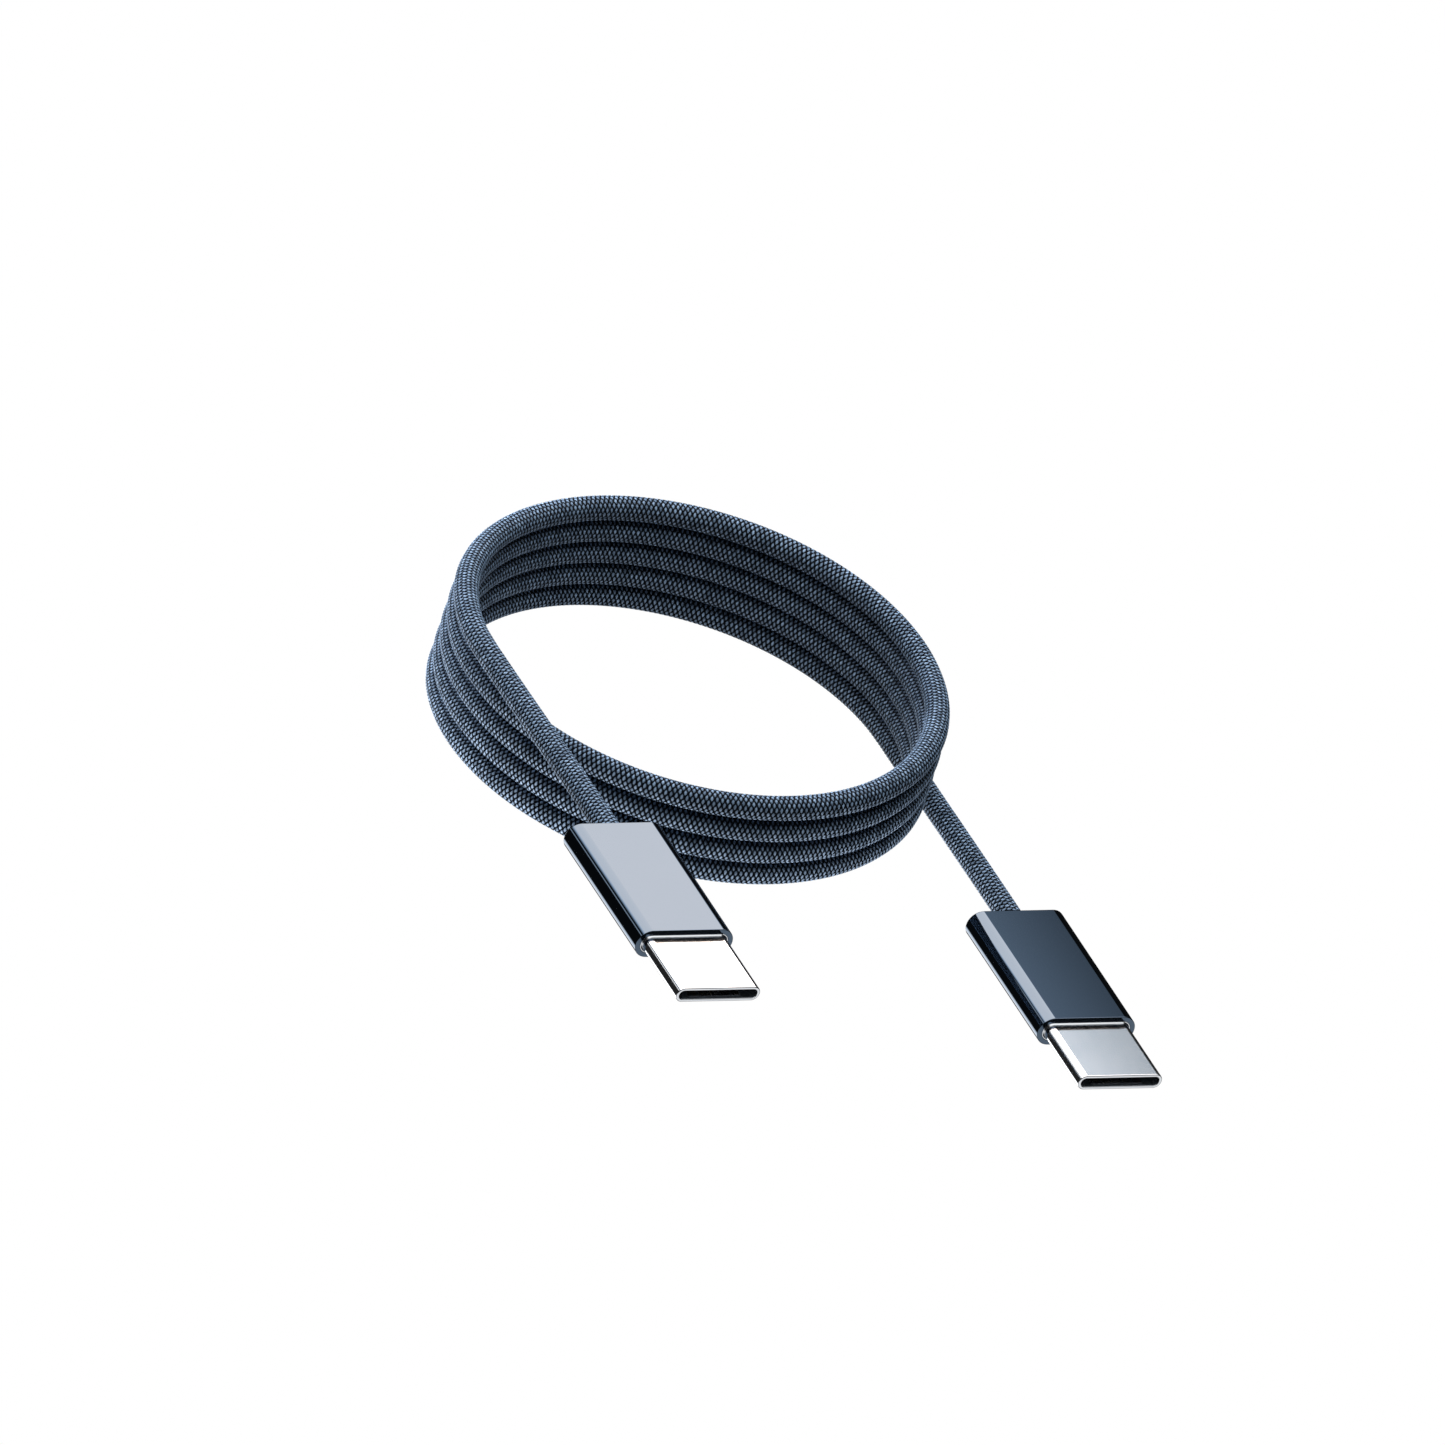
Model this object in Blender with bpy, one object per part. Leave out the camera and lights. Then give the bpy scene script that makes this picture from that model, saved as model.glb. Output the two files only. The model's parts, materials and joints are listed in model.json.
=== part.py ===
"""Double-ended charging cable, coiled, with two flat metal-cased reversible plugs.

Metres, +Z up. The plugs point along -Y and the coil lies behind them. The origin is on
the standing surface, midway between the two plugs.
"""

import math

import bmesh
import bpy
from mathutils import Matrix, Vector

MM = 0.001

# Cord and coil
CORD_DIAMETER = 2.22 * MM
COIL_RADIUS = 21.43 * MM
COIL_PITCH = 2.284 * MM
COIL_TURNS = 4.5
COIL_LIFT = 0.15 * MM
COIL_ROUND_OVER = 0.55
TAIL_LENGTH = 27.57 * MM
PLUG_LIFT = 0.30 * MM
NOTCH_LENGTH = 11.0 * MM

# Connector shell, the part that mates
SHELL_WIDTH = 8.25 * MM
SHELL_THICKNESS = 1.48 * MM
SHELL_WALL = 0.28 * MM
SHELL_EXPOSED = 7.57 * MM
SHELL_SEATED = 4.8 * MM
SHELL_LIP_RADIUS = 0.09 * MM

# Metal casing, with its margins round the shell
CASING_SIDE_MARGIN = 0.655 * MM
CASING_FACE_MARGIN = 0.675 * MM
CASING_WIDTH = SHELL_WIDTH + 2 * CASING_SIDE_MARGIN
CASING_THICKNESS = SHELL_THICKNESS + 2 * CASING_FACE_MARGIN
CASING_LENGTH = 15.96 * MM
CASING_WALL = 0.25 * MM
CASING_LIP = 0.46 * MM
CASING_LIP_DEPTH = 0.85 * MM
CASING_REAR_WALL = 1.06 * MM
CASING_RIM_RADIUS = 0.06 * MM
CASING_REAR_RADIUS = 0.10 * MM

# Fits
SEAT_GAP = 0.04 * MM
SLIDE_GAP = 0.03 * MM
FACE_GAP = 0.15 * MM

# Bright ring in the casing's mouth, and the collar that holds the shell behind it
RING_PROUD = 0.08 * MM
RING_LENGTH = 0.88 * MM
COLLAR_RECESS = CASING_LIP_DEPTH + SEAT_GAP
COLLAR_SETBACK = 0.41 * MM
COLLAR_LENGTH = SHELL_SEATED - COLLAR_RECESS - COLLAR_SETBACK

# Contact housing inside the shell
HOUSING_FRONT = -2.2 * MM
HOUSING_PLATE = 0.40 * MM
HOUSING_RAIL_INNER = 2.97 * MM
HOUSING_RAIL_OUTER = 3.35 * MM

# Contact beams
CONTACT_PITCH = 0.5 * MM
CONTACT_WIDTH = 0.24 * MM
CONTACT_THICKNESS = 0.07 * MM
CONTACT_PIVOT = -1.7 * MM
CONTACT_PIVOT_HEIGHT = 0.265 * MM
CONTACT_HEIGHTS = (
    (-1.6 * MM, 0.265 * MM),
    (-3.4 * MM, 0.300 * MM),
    (-4.8 * MM, 0.310 * MM),
    (-5.6 * MM, 0.270 * MM),
    (-6.0 * MM, 0.275 * MM),
)
UPPER_POSITIONS = (1, 4, 5, 6, 7, 9, 12)
LOWER_POSITIONS = (1, 4, 5, 9, 12)
CONTACT_POSITIONS = 12

# Side latch arms
LATCH_THICKNESS = 0.10 * MM
LATCH_HEIGHT = 0.36 * MM
LATCH_PIVOT = -1.1 * MM
LATCH_PIVOT_OFFSET = 3.56 * MM
LATCH_OFFSETS = (
    (-1.0 * MM, 3.560 * MM),
    (-3.0 * MM, 3.580 * MM),
    (-4.3 * MM, 3.560 * MM),
    (-4.9 * MM, 3.370 * MM),
    (-5.6 * MM, 3.550 * MM),
)

# Ground spring leaves inside the mouth
GROUND_WIDTH = 5.0 * MM
GROUND_LENGTH = 0.7 * MM
GROUND_THICKNESS = 0.05 * MM
GROUND_SETBACK = 0.4 * MM
GROUND_FINGERS = 5
GROUND_SLOT = 0.20 * MM
GROUND_BAND = 0.25 * MM

# Circuit board, chip and shield
BOARD_SIZE = (6.6 * MM, 6.2 * MM, 0.40 * MM)
CHIP_SIZE = (2.0 * MM, 2.0 * MM, 0.38 * MM)
BOARD_NOTCH = (0.5 * MM, 1.2 * MM)
CHIP_SETBACK = 1.6 * MM
CHIP_CHAMFER = 0.08 * MM
SHIELD_WIDTH = 8.30 * MM
SHIELD_THICKNESS = 2.16 * MM
SHIELD_LENGTH = 6.6 * MM
SHIELD_WALL = 0.12 * MM

# Cord end inside the casing
JACKET_RADIUS = 0.70 * MM
JACKET_LENGTH = 2.3 * MM
CRIMP_OUTER_RADIUS = 1.08 * MM
CRIMP_LENGTH = 1.5 * MM
WIRE_RADIUS = 0.20 * MM
WIRE_GAP = 0.25 * MM
WIRE_ROUTE = (
    (0.34 * MM, 0.08 * MM, 0.16 * MM),
    (0.75 * MM, -0.45 * MM, 0.38 * MM),
    (1.45 * MM, -1.05 * MM, 0.44 * MM),
    (1.60 * MM, -1.90 * MM, 0.44 * MM),
)

# Facets
END_SEGMENTS = 14
ROUND_SEGMENTS = 24
COIL_SEGMENTS = 72
TAIL_STEP = 2.3 * CORD_DIAMETER

# Derived placement, with the plugs' box centred on the origin
PLUG_LENGTH = SHELL_EXPOSED + CASING_LENGTH
RIM_Y = SHELL_EXPOSED - PLUG_LENGTH / 2
REAR_Y = RIM_Y + CASING_LENGTH
COIL_Y = REAR_Y + TAIL_LENGTH
CORD_RADIUS = CORD_DIAMETER / 2
RIGHT_PLUG_Z = CASING_THICKNESS / 2
COIL_LOW_Z = CORD_RADIUS + COIL_LIFT
COIL_HIGH_Z = COIL_LOW_Z + COIL_TURNS * COIL_PITCH
LEFT_PLUG_Z = COIL_HIGH_Z + PLUG_LIFT
CASING_CAVITY_END = CASING_LENGTH - CASING_REAR_WALL
CORD_END = CASING_CAVITY_END - 0.2 * MM


def material(name, colour, metallic, roughness):
    made = bpy.data.materials.new(name)
    made.use_nodes = True
    shader = made.node_tree.nodes["Principled BSDF"]
    shader.inputs["Base Color"].default_value = (*colour, 1.0)
    shader.inputs["Metallic"].default_value = metallic
    shader.inputs["Roughness"].default_value = roughness
    made.diffuse_color = (*colour, 1.0)
    return made


FINISHES = {
    "braid": ((0.035, 0.045, 0.065), 0.0, 0.75),
    "casing_metal": ((0.045, 0.060, 0.085), 0.9, 0.25),
    "collar_plastic": ((0.015, 0.016, 0.018), 0.0, 0.45),
    "shell_metal": ((0.80, 0.81, 0.83), 1.0, 0.12),
    "housing_plastic": ((0.020, 0.020, 0.022), 0.0, 0.50),
    "spring_steel": ((0.60, 0.60, 0.62), 1.0, 0.30),
    "contact_gold": ((0.85, 0.62, 0.25), 1.0, 0.25),
    "board_laminate": ((0.02, 0.16, 0.07), 0.0, 0.45),
    "chip_resin": ((0.02, 0.02, 0.02), 0.0, 0.40),
    "shield_steel": ((0.55, 0.56, 0.58), 1.0, 0.35),
    "jacket_rubber": ((0.05, 0.05, 0.055), 0.0, 0.60),
    "crimp_brass": ((0.70, 0.52, 0.22), 1.0, 0.35),
    "wire_red": ((0.50, 0.03, 0.03), 0.0, 0.45),
    "wire_black": ((0.02, 0.02, 0.02), 0.0, 0.45),
}


def new_object(name, bm, finish, smooth_angle=35.0):
    """Turns a bmesh into a named object, smooth except at edges over smooth_angle."""
    bmesh.ops.recalc_face_normals(bm, faces=bm.faces)
    limit = math.radians(smooth_angle)
    for face in bm.faces:
        face.smooth = True
    for edge in bm.edges:
        edge.smooth = edge.calc_face_angle(0.0) < limit
    mesh = bpy.data.meshes.new(name)
    bm.to_mesh(mesh)
    bm.free()
    obj = bpy.data.objects.new(name, mesh)
    bpy.context.scene.collection.objects.link(obj)
    if finish:
        mesh.materials.append(bpy.data.materials[finish])
    return obj


def extruded(points, direction):
    """Bmesh of a closed outline extruded along a vector."""
    bm = bmesh.new()
    outline = bm.faces.new([bm.verts.new(point) for point in points])
    raised = bmesh.ops.extrude_face_region(bm, geom=[outline])["geom"]
    moved = [item for item in raised if isinstance(item, bmesh.types.BMVert)]
    bmesh.ops.translate(bm, verts=moved, vec=direction)
    return bm


def stadium(width, thickness, y):
    """Points of a flat-sided oval across the plug's length."""
    radius = thickness / 2
    offset = width / 2 - radius
    points = []
    for side in (1, -1):
        for step in range(END_SEGMENTS + 1):
            angle = side * (math.pi / 2 - math.pi * step / END_SEGMENTS)
            x = side * (offset + radius * math.cos(angle))
            points.append(Vector((x, y, radius * math.sin(angle))))
    return points


def stadium_prism(width, thickness, front, rear, front_radius=0.0, rear_radius=0.0):
    bm = extruded(stadium(width, thickness, front), Vector((0, rear - front, 0)))
    for y, radius in ((front, front_radius), (rear, rear_radius)):
        if radius == 0.0:
            continue
        ends = [
            edge for edge in bm.edges if all(abs(v.co.y - y) < 1e-7 for v in edge.verts)
        ]
        bmesh.ops.bevel(
            bm,
            geom=ends,
            offset=radius,
            segments=3,
            profile=0.5,
            affect="EDGES",
            material=-1,
        )
    return bm


def cylinder_along_y(radius, front, rear):
    bm = bmesh.new()
    bmesh.ops.create_cone(
        bm,
        cap_ends=True,
        segments=ROUND_SEGMENTS,
        radius1=radius,
        radius2=radius,
        depth=rear - front,
        matrix=Matrix.Translation((0, (front + rear) / 2, 0))
        @ Matrix.Rotation(math.pi / 2, 4, "X"),
    )
    return bm


def box(size, centre):
    bm = bmesh.new()
    bmesh.ops.create_cube(
        bm, size=1.0, matrix=Matrix.Translation(centre) @ Matrix.Diagonal((*size, 1))
    )
    return bm


def cut(obj, cutter_bm, label):
    """Takes a hidden cutter, made in the object's own frame, away from the object."""
    cutter = new_object(f"{obj.name}_{label}", cutter_bm, None)
    cutter.hide_render = True
    cutter.display_type = "WIRE"
    cutter.parent = obj.parent
    cutter.location = obj.location
    modifier = obj.modifiers.new(label, "BOOLEAN")
    modifier.operation = "DIFFERENCE"
    modifier.solver = "EXACT"
    modifier.object = cutter


def strip(path, thickness, place):
    """Outline of a bent strip: a centre line, thickened both ways, set by place()."""
    half = thickness / 2
    near = [place(along, offset - half) for along, offset in path]
    far = [place(along, offset + half) for along, offset in path]
    return near + far[::-1]


def place_on(obj, parent, pivot=(0, 0, 0)):
    """Parents the object and moves its origin to the pivot without moving its shape."""
    obj.data.transform(Matrix.Translation(-Vector(pivot)))
    obj.parent = parent
    obj.location = pivot


def tube(name, points, radius, finish, resolution):
    """A round cord or wire along a polyline, with closed ends."""
    curve = bpy.data.curves.new(name, "CURVE")
    curve.dimensions = "3D"
    spline = curve.splines.new("POLY")
    spline.points.add(len(points) - 1)
    for point, target in zip(spline.points, points):
        point.co = (*target, 1.0)
    curve.bevel_depth = radius
    curve.bevel_resolution = resolution
    curve.use_fill_caps = True
    curve.materials.append(bpy.data.materials[finish])
    obj = bpy.data.objects.new(name, curve)
    bpy.context.scene.collection.objects.link(obj)
    return obj


def make_shell(side, plug):
    shell = new_object(
        f"{side}_connector_shell",
        stadium_prism(
            SHELL_WIDTH,
            SHELL_THICKNESS,
            -SHELL_EXPOSED,
            SHELL_SEATED,
            front_radius=SHELL_LIP_RADIUS,
        ),
        "shell_metal",
    )
    shell.parent = plug
    mouth = stadium_prism(
        SHELL_WIDTH - 2 * SHELL_WALL,
        SHELL_THICKNESS - 2 * SHELL_WALL,
        -SHELL_EXPOSED - SHELL_WALL,
        SHELL_SEATED + SHELL_WALL,
    )
    cut(shell, mouth, "mouth")


def make_casing(side, plug):
    casing = new_object(
        f"{side}_casing",
        stadium_prism(
            CASING_WIDTH,
            CASING_THICKNESS,
            0.0,
            CASING_LENGTH,
            CASING_RIM_RADIUS,
            CASING_REAR_RADIUS,
        ),
        "casing_metal",
    )
    casing.parent = plug
    cavity = stadium_prism(
        CASING_WIDTH - 2 * CASING_WALL,
        CASING_THICKNESS - 2 * CASING_WALL,
        CASING_LIP_DEPTH,
        CASING_CAVITY_END,
    )
    cut(casing, cavity, "cavity")
    mouth = stadium_prism(
        CASING_WIDTH - 2 * CASING_LIP,
        CASING_THICKNESS - 2 * CASING_LIP,
        -CASING_WALL,
        CASING_LIP_DEPTH + CASING_WALL,
    )
    cut(casing, mouth, "mouth")
    hole = cylinder_along_y(
        CORD_RADIUS + SEAT_GAP,
        CASING_CAVITY_END - CASING_WALL,
        CASING_LENGTH + CASING_WALL,
    )
    cut(casing, hole, "cord_hole")


def make_trim_ring(side, plug):
    ring = new_object(
        f"{side}_trim_ring",
        stadium_prism(
            CASING_WIDTH - 2 * CASING_LIP - 2 * SLIDE_GAP,
            CASING_THICKNESS - 2 * CASING_LIP - 2 * SLIDE_GAP,
            -RING_PROUD,
            RING_LENGTH - RING_PROUD,
        ),
        "shell_metal",
    )
    ring.parent = plug
    inside = stadium_prism(
        SHELL_WIDTH + 2 * SLIDE_GAP,
        SHELL_THICKNESS + 2 * SLIDE_GAP,
        -RING_PROUD - SHELL_WALL,
        RING_LENGTH - RING_PROUD + SHELL_WALL,
    )
    cut(ring, inside, "inside")


def make_collar(side, plug):
    width = CASING_WIDTH - 2 * CASING_WALL - 2 * SEAT_GAP
    thickness = CASING_THICKNESS - 2 * CASING_WALL - 2 * SEAT_GAP
    collar = new_object(
        f"{side}_collar",
        stadium_prism(width, thickness, COLLAR_RECESS, COLLAR_RECESS + COLLAR_LENGTH),
        "collar_plastic",
    )
    collar.parent = plug
    socket = stadium_prism(
        SHELL_WIDTH + 2 * SEAT_GAP,
        SHELL_THICKNESS + 2 * SEAT_GAP,
        COLLAR_RECESS - SHELL_WALL,
        COLLAR_RECESS + COLLAR_LENGTH + SHELL_WALL,
    )
    cut(collar, socket, "socket")


def make_housing(side, plug):
    rail_height = SHELL_THICKNESS / 2 - SHELL_WALL - SLIDE_GAP
    plate = HOUSING_PLATE / 2
    quarter = (
        (HOUSING_RAIL_INNER, plate),
        (HOUSING_RAIL_INNER, rail_height),
        (HOUSING_RAIL_OUTER, rail_height),
    )
    right = [(x, z) for x, z in quarter] + [(x, -z) for x, z in quarter[::-1]]
    outline = right + [(-x, -z) for x, z in right]
    points = [Vector((x, HOUSING_FRONT, z)) for x, z in outline]
    depth = SHELL_SEATED - SEAT_GAP - HOUSING_FRONT
    housing = new_object(
        f"{side}_contact_housing",
        extruded(points, Vector((0, depth, 0))),
        "housing_plastic",
    )
    housing.parent = plug


def make_contacts(side, plug):
    """Both rows of contact beams, each hinged where it leaves the housing."""
    for row, sign, positions in (
        ("upper", 1, UPPER_POSITIONS),
        ("lower", -1, LOWER_POSITIONS),
    ):
        for position in positions:
            centre = (position - (CONTACT_POSITIONS + 1) / 2) * CONTACT_PITCH
            left_face = centre - CONTACT_WIDTH / 2
            outline = strip(
                CONTACT_HEIGHTS,
                CONTACT_THICKNESS,
                lambda y, z: Vector((left_face, y, sign * z)),
            )
            beam = new_object(
                f"{side}_contact_{row}_{position:02d}",
                extruded(outline, Vector((CONTACT_WIDTH, 0, 0))),
                "contact_gold",
                smooth_angle=20.0,
            )
            place_on(beam, plug, (0.0, CONTACT_PIVOT, sign * CONTACT_PIVOT_HEIGHT))


def make_latches(side, plug):
    """The two side arms that grip the socket's tongue."""
    for hand, sign in (("left", -1), ("right", 1)):
        outline = strip(
            LATCH_OFFSETS,
            LATCH_THICKNESS,
            lambda y, x: Vector((sign * x, y, -LATCH_HEIGHT / 2)),
        )
        arm = new_object(
            f"{side}_latch_{hand}",
            extruded(outline, Vector((0, 0, LATCH_HEIGHT))),
            "spring_steel",
            smooth_angle=30.0,
        )
        place_on(arm, plug, (sign * LATCH_PIVOT_OFFSET, LATCH_PIVOT, 0.0))


def make_ground_springs(side, plug):
    wall_inner = SHELL_THICKNESS / 2 - SHELL_WALL
    front = -SHELL_EXPOSED + GROUND_SETBACK
    rear = front + GROUND_LENGTH
    pitch = (GROUND_WIDTH + GROUND_SLOT) / GROUND_FINGERS
    outline = [(-GROUND_WIDTH / 2, front), (GROUND_WIDTH / 2, front)]
    for finger in range(GROUND_FINGERS):
        right = GROUND_WIDTH / 2 - finger * pitch
        left = right - pitch + GROUND_SLOT
        if finger > 0:
            outline.append((right, front + GROUND_BAND))
        outline += [(right, rear), (left, rear)]
        if finger < GROUND_FINGERS - 1:
            outline.append((left, front + GROUND_BAND))
    for row, sign in (("upper", 1), ("lower", -1)):
        outer_z = sign * (wall_inner - SLIDE_GAP / 2)
        points = [Vector((x, y, outer_z)) for x, y in outline]
        leaf = new_object(
            f"{side}_ground_spring_{row}",
            extruded(points, Vector((0, 0, -sign * GROUND_THICKNESS))),
            "spring_steel",
        )
        leaf.parent = plug


def make_electronics(side, plug):
    board_front = SHELL_SEATED + FACE_GAP
    half_width = BOARD_SIZE[0] / 2
    board_rear = board_front + BOARD_SIZE[1]
    notch_in, notch_long = BOARD_NOTCH
    right = (
        (half_width, board_front),
        (half_width, board_rear - 2 * notch_long),
        (half_width - notch_in, board_rear - 2 * notch_long),
        (half_width - notch_in, board_rear - notch_long),
        (half_width, board_rear - notch_long),
        (half_width, board_rear),
    )
    outline = list(right) + [(-x, y) for x, y in right[::-1]]
    points = [Vector((x, y, -BOARD_SIZE[2] / 2)) for x, y in outline]
    board = new_object(
        f"{side}_board",
        extruded(points, Vector((0, 0, BOARD_SIZE[2]))),
        "board_laminate",
    )
    board.parent = plug
    chip_y = board_front + CHIP_SETBACK + CHIP_SIZE[1] / 2
    chip_z = BOARD_SIZE[2] / 2 + SEAT_GAP / 2 + CHIP_SIZE[2] / 2
    body = box(CHIP_SIZE, (0, chip_y, chip_z))
    top = [edge for edge in body.edges if all(v.co.z > chip_z for v in edge.verts)]
    bmesh.ops.bevel(
        body,
        geom=top,
        offset=CHIP_CHAMFER,
        segments=1,
        profile=0.5,
        affect="EDGES",
        material=-1,
    )
    chip = new_object(f"{side}_chip", body, "chip_resin")
    chip.parent = plug
    shield_front = SHELL_SEATED + FACE_GAP / 2
    shield = new_object(
        f"{side}_shield",
        stadium_prism(
            SHIELD_WIDTH, SHIELD_THICKNESS, shield_front, shield_front + SHIELD_LENGTH
        ),
        "shield_steel",
    )
    shield.parent = plug
    inside = stadium_prism(
        SHIELD_WIDTH - 2 * SHIELD_WALL,
        SHIELD_THICKNESS - 2 * SHIELD_WALL,
        shield_front - SHIELD_WALL,
        shield_front + SHIELD_LENGTH + SHIELD_WALL,
    )
    cut(shield, inside, "inside")


def make_cord_end(side, plug):
    """The stripped cord inside the casing: jacket, crimp ring and the power pair."""
    jacket_rear = CORD_END - SEAT_GAP
    jacket_front = jacket_rear - JACKET_LENGTH
    jacket = new_object(
        f"{side}_inner_jacket",
        cylinder_along_y(JACKET_RADIUS, jacket_front, jacket_rear),
        "jacket_rubber",
    )
    jacket.parent = plug
    crimp_rear = jacket_rear - SEAT_GAP
    crimp = new_object(
        f"{side}_crimp_ring",
        cylinder_along_y(CRIMP_OUTER_RADIUS, crimp_rear - CRIMP_LENGTH, crimp_rear),
        "crimp_brass",
    )
    crimp.parent = plug
    bore = cylinder_along_y(
        JACKET_RADIUS + SEAT_GAP,
        crimp_rear - CRIMP_LENGTH - SHIELD_WALL,
        crimp_rear + SHIELD_WALL,
    )
    cut(crimp, bore, "bore")
    for name, sign, finish in (
        ("wire_power", -1, "wire_red"),
        ("wire_ground", 1, "wire_black"),
    ):
        start = jacket_front - WIRE_GAP
        points = [(sign * x, start + y, z) for x, y, z in WIRE_ROUTE]
        wire = tube(f"{side}_{name}", points, WIRE_RADIUS, finish, 1)
        wire.parent = plug


def make_plug(side, x, z):
    plug = bpy.data.objects.new(f"{side}_plug", None)
    plug.empty_display_size = CASING_THICKNESS
    plug.location = (x, RIM_Y, z)
    bpy.context.scene.collection.objects.link(plug)
    make_casing(side, plug)
    make_trim_ring(side, plug)
    make_collar(side, plug)
    make_shell(side, plug)
    make_housing(side, plug)
    make_contacts(side, plug)
    make_latches(side, plug)
    make_ground_springs(side, plug)
    make_electronics(side, plug)
    make_cord_end(side, plug)


def make_coil():
    """The wound turns as one turned ring that stands on the surface."""
    outer = COIL_RADIUS + CORD_RADIUS
    inner = COIL_RADIUS - CORD_RADIUS
    top = COIL_HIGH_Z + CORD_RADIUS
    round_over = CORD_RADIUS * COIL_ROUND_OVER
    bevel = round_over * (1 - math.sqrt(0.5))
    corners = (
        (outer, round_over),
        (outer, top - round_over),
        (outer - bevel, top - bevel),
        (outer - round_over, top),
        (inner + round_over, top),
        (inner + bevel, top - bevel),
        (inner, top - round_over),
        (inner, round_over),
        (inner + bevel, bevel),
        (inner + round_over, 0.0),
        (outer - round_over, 0.0),
        (outer - bevel, bevel),
    )
    bm = bmesh.new()
    section = bm.faces.new([bm.verts.new((radius, 0, z)) for radius, z in corners])
    bmesh.ops.spin(
        bm,
        geom=[section, *section.edges, *section.verts],
        axis=(0, 0, 1),
        cent=(0, 0, 0),
        steps=COIL_SEGMENTS,
        angle=math.tau,
        use_merge=True,
    )
    bmesh.ops.remove_doubles(bm, verts=bm.verts, dist=1e-7)
    caps = [face for face in bm.faces if len(face.verts) > 4]
    bmesh.ops.delete(bm, geom=caps, context="FACES_ONLY")
    coil = new_object("cord_coil", bm, "braid")
    coil.location = (0, COIL_Y, 0)
    for side, sign, low, high in (
        ("left", -1, COIL_HIGH_Z - CORD_RADIUS - FACE_GAP, top + CORD_RADIUS),
        ("right", 1, -CORD_RADIUS, COIL_LOW_Z + CORD_RADIUS + FACE_GAP),
    ):
        near = inner - SEAT_GAP
        far = outer + CORD_RADIUS
        size = (far - near, NOTCH_LENGTH, high - low)
        centre = (sign * (near + far) / 2, -NOTCH_LENGTH / 2, (low + high) / 2)
        cut(coil, box(size, centre), f"{side}_notch")


def tail_points(x, plug_z, coil_z):
    """Centre line of a tail, from inside the casing to the side of the coil."""
    start = RIM_Y + CORD_END
    end = COIL_Y - SEAT_GAP
    straight = REAR_Y + CORD_DIAMETER
    count = max(2, round((end - start) / TAIL_STEP))
    points = []
    for step in range(count + 1):
        y = start + (end - start) * step / count
        blend = min(max((y - straight) / (COIL_Y - straight), 0.0), 1.0)
        blend = blend * blend * (3 - 2 * blend)
        points.append((x, y, plug_z + (coil_z - plug_z) * blend))
    return points


def make_tails():
    sides = (
        ("left", -COIL_RADIUS, LEFT_PLUG_Z, COIL_HIGH_Z),
        ("right", COIL_RADIUS, RIGHT_PLUG_Z, COIL_LOW_Z),
    )
    for side, x, plug_z, coil_z in sides:
        points = tail_points(x, plug_z, coil_z)
        tube(f"cord_tail_{side}", points, CORD_RADIUS, "braid", 2)


def main():
    for obj in list(bpy.data.objects):
        bpy.data.objects.remove(obj, do_unlink=True)
    for name, (colour, metallic, roughness) in FINISHES.items():
        material(name, colour, metallic, roughness)
    make_plug("left", -COIL_RADIUS, LEFT_PLUG_Z)
    make_plug("right", COIL_RADIUS, RIGHT_PLUG_Z)
    make_coil()
    make_tails()


main()
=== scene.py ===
"""Looks of a coiled, braided charging cable with a metal-cased plug at each end."""

import json
import math

import bmesh
import bpy
import numpy as np
from mathutils import Matrix, Vector


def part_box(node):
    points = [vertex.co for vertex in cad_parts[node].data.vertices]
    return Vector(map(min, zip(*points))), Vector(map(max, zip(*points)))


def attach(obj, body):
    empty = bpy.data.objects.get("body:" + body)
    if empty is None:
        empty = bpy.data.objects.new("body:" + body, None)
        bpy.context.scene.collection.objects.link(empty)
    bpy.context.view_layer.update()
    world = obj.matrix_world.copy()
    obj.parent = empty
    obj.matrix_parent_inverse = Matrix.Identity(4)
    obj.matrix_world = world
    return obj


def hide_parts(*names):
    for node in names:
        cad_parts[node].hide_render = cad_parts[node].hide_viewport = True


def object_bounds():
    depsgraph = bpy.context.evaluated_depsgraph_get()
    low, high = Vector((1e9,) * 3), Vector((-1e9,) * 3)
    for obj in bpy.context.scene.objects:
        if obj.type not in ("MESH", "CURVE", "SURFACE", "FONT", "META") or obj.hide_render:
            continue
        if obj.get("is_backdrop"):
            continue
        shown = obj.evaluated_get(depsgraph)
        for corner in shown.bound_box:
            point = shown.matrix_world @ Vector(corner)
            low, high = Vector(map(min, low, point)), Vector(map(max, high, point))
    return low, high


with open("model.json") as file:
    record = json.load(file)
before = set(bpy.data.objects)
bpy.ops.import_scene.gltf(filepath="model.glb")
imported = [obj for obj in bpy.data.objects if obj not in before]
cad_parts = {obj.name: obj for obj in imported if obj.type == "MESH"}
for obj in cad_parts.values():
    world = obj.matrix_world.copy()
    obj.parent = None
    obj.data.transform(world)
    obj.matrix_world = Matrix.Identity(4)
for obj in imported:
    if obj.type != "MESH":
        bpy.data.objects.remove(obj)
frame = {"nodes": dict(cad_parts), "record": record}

bl_info = {
    "name": "Braided Charging Cable",
    "version": (1, 0, 0),
    "blender": (4, 5, 0),
    "location": "3D View > Sidebar > Cable",
    "description": "Builds a coiled braided charging cable and its studio stage",
    "category": "Add Mesh",
}

MM = 0.001
SIDES = ("left", "right")

# Route of the cord, as the frame has it
RIM_Y = -4.195 * MM
CORD_END_Y = RIM_Y + 14.70 * MM
REAR_Y = RIM_Y + 15.96 * MM
COIL_Y = REAR_Y + 27.57 * MM
LEFT_PLUG_Z = 11.838 * MM
RIGHT_PLUG_Z = 1.415 * MM
COIL_LOW_Z = 1.260 * MM

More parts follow.
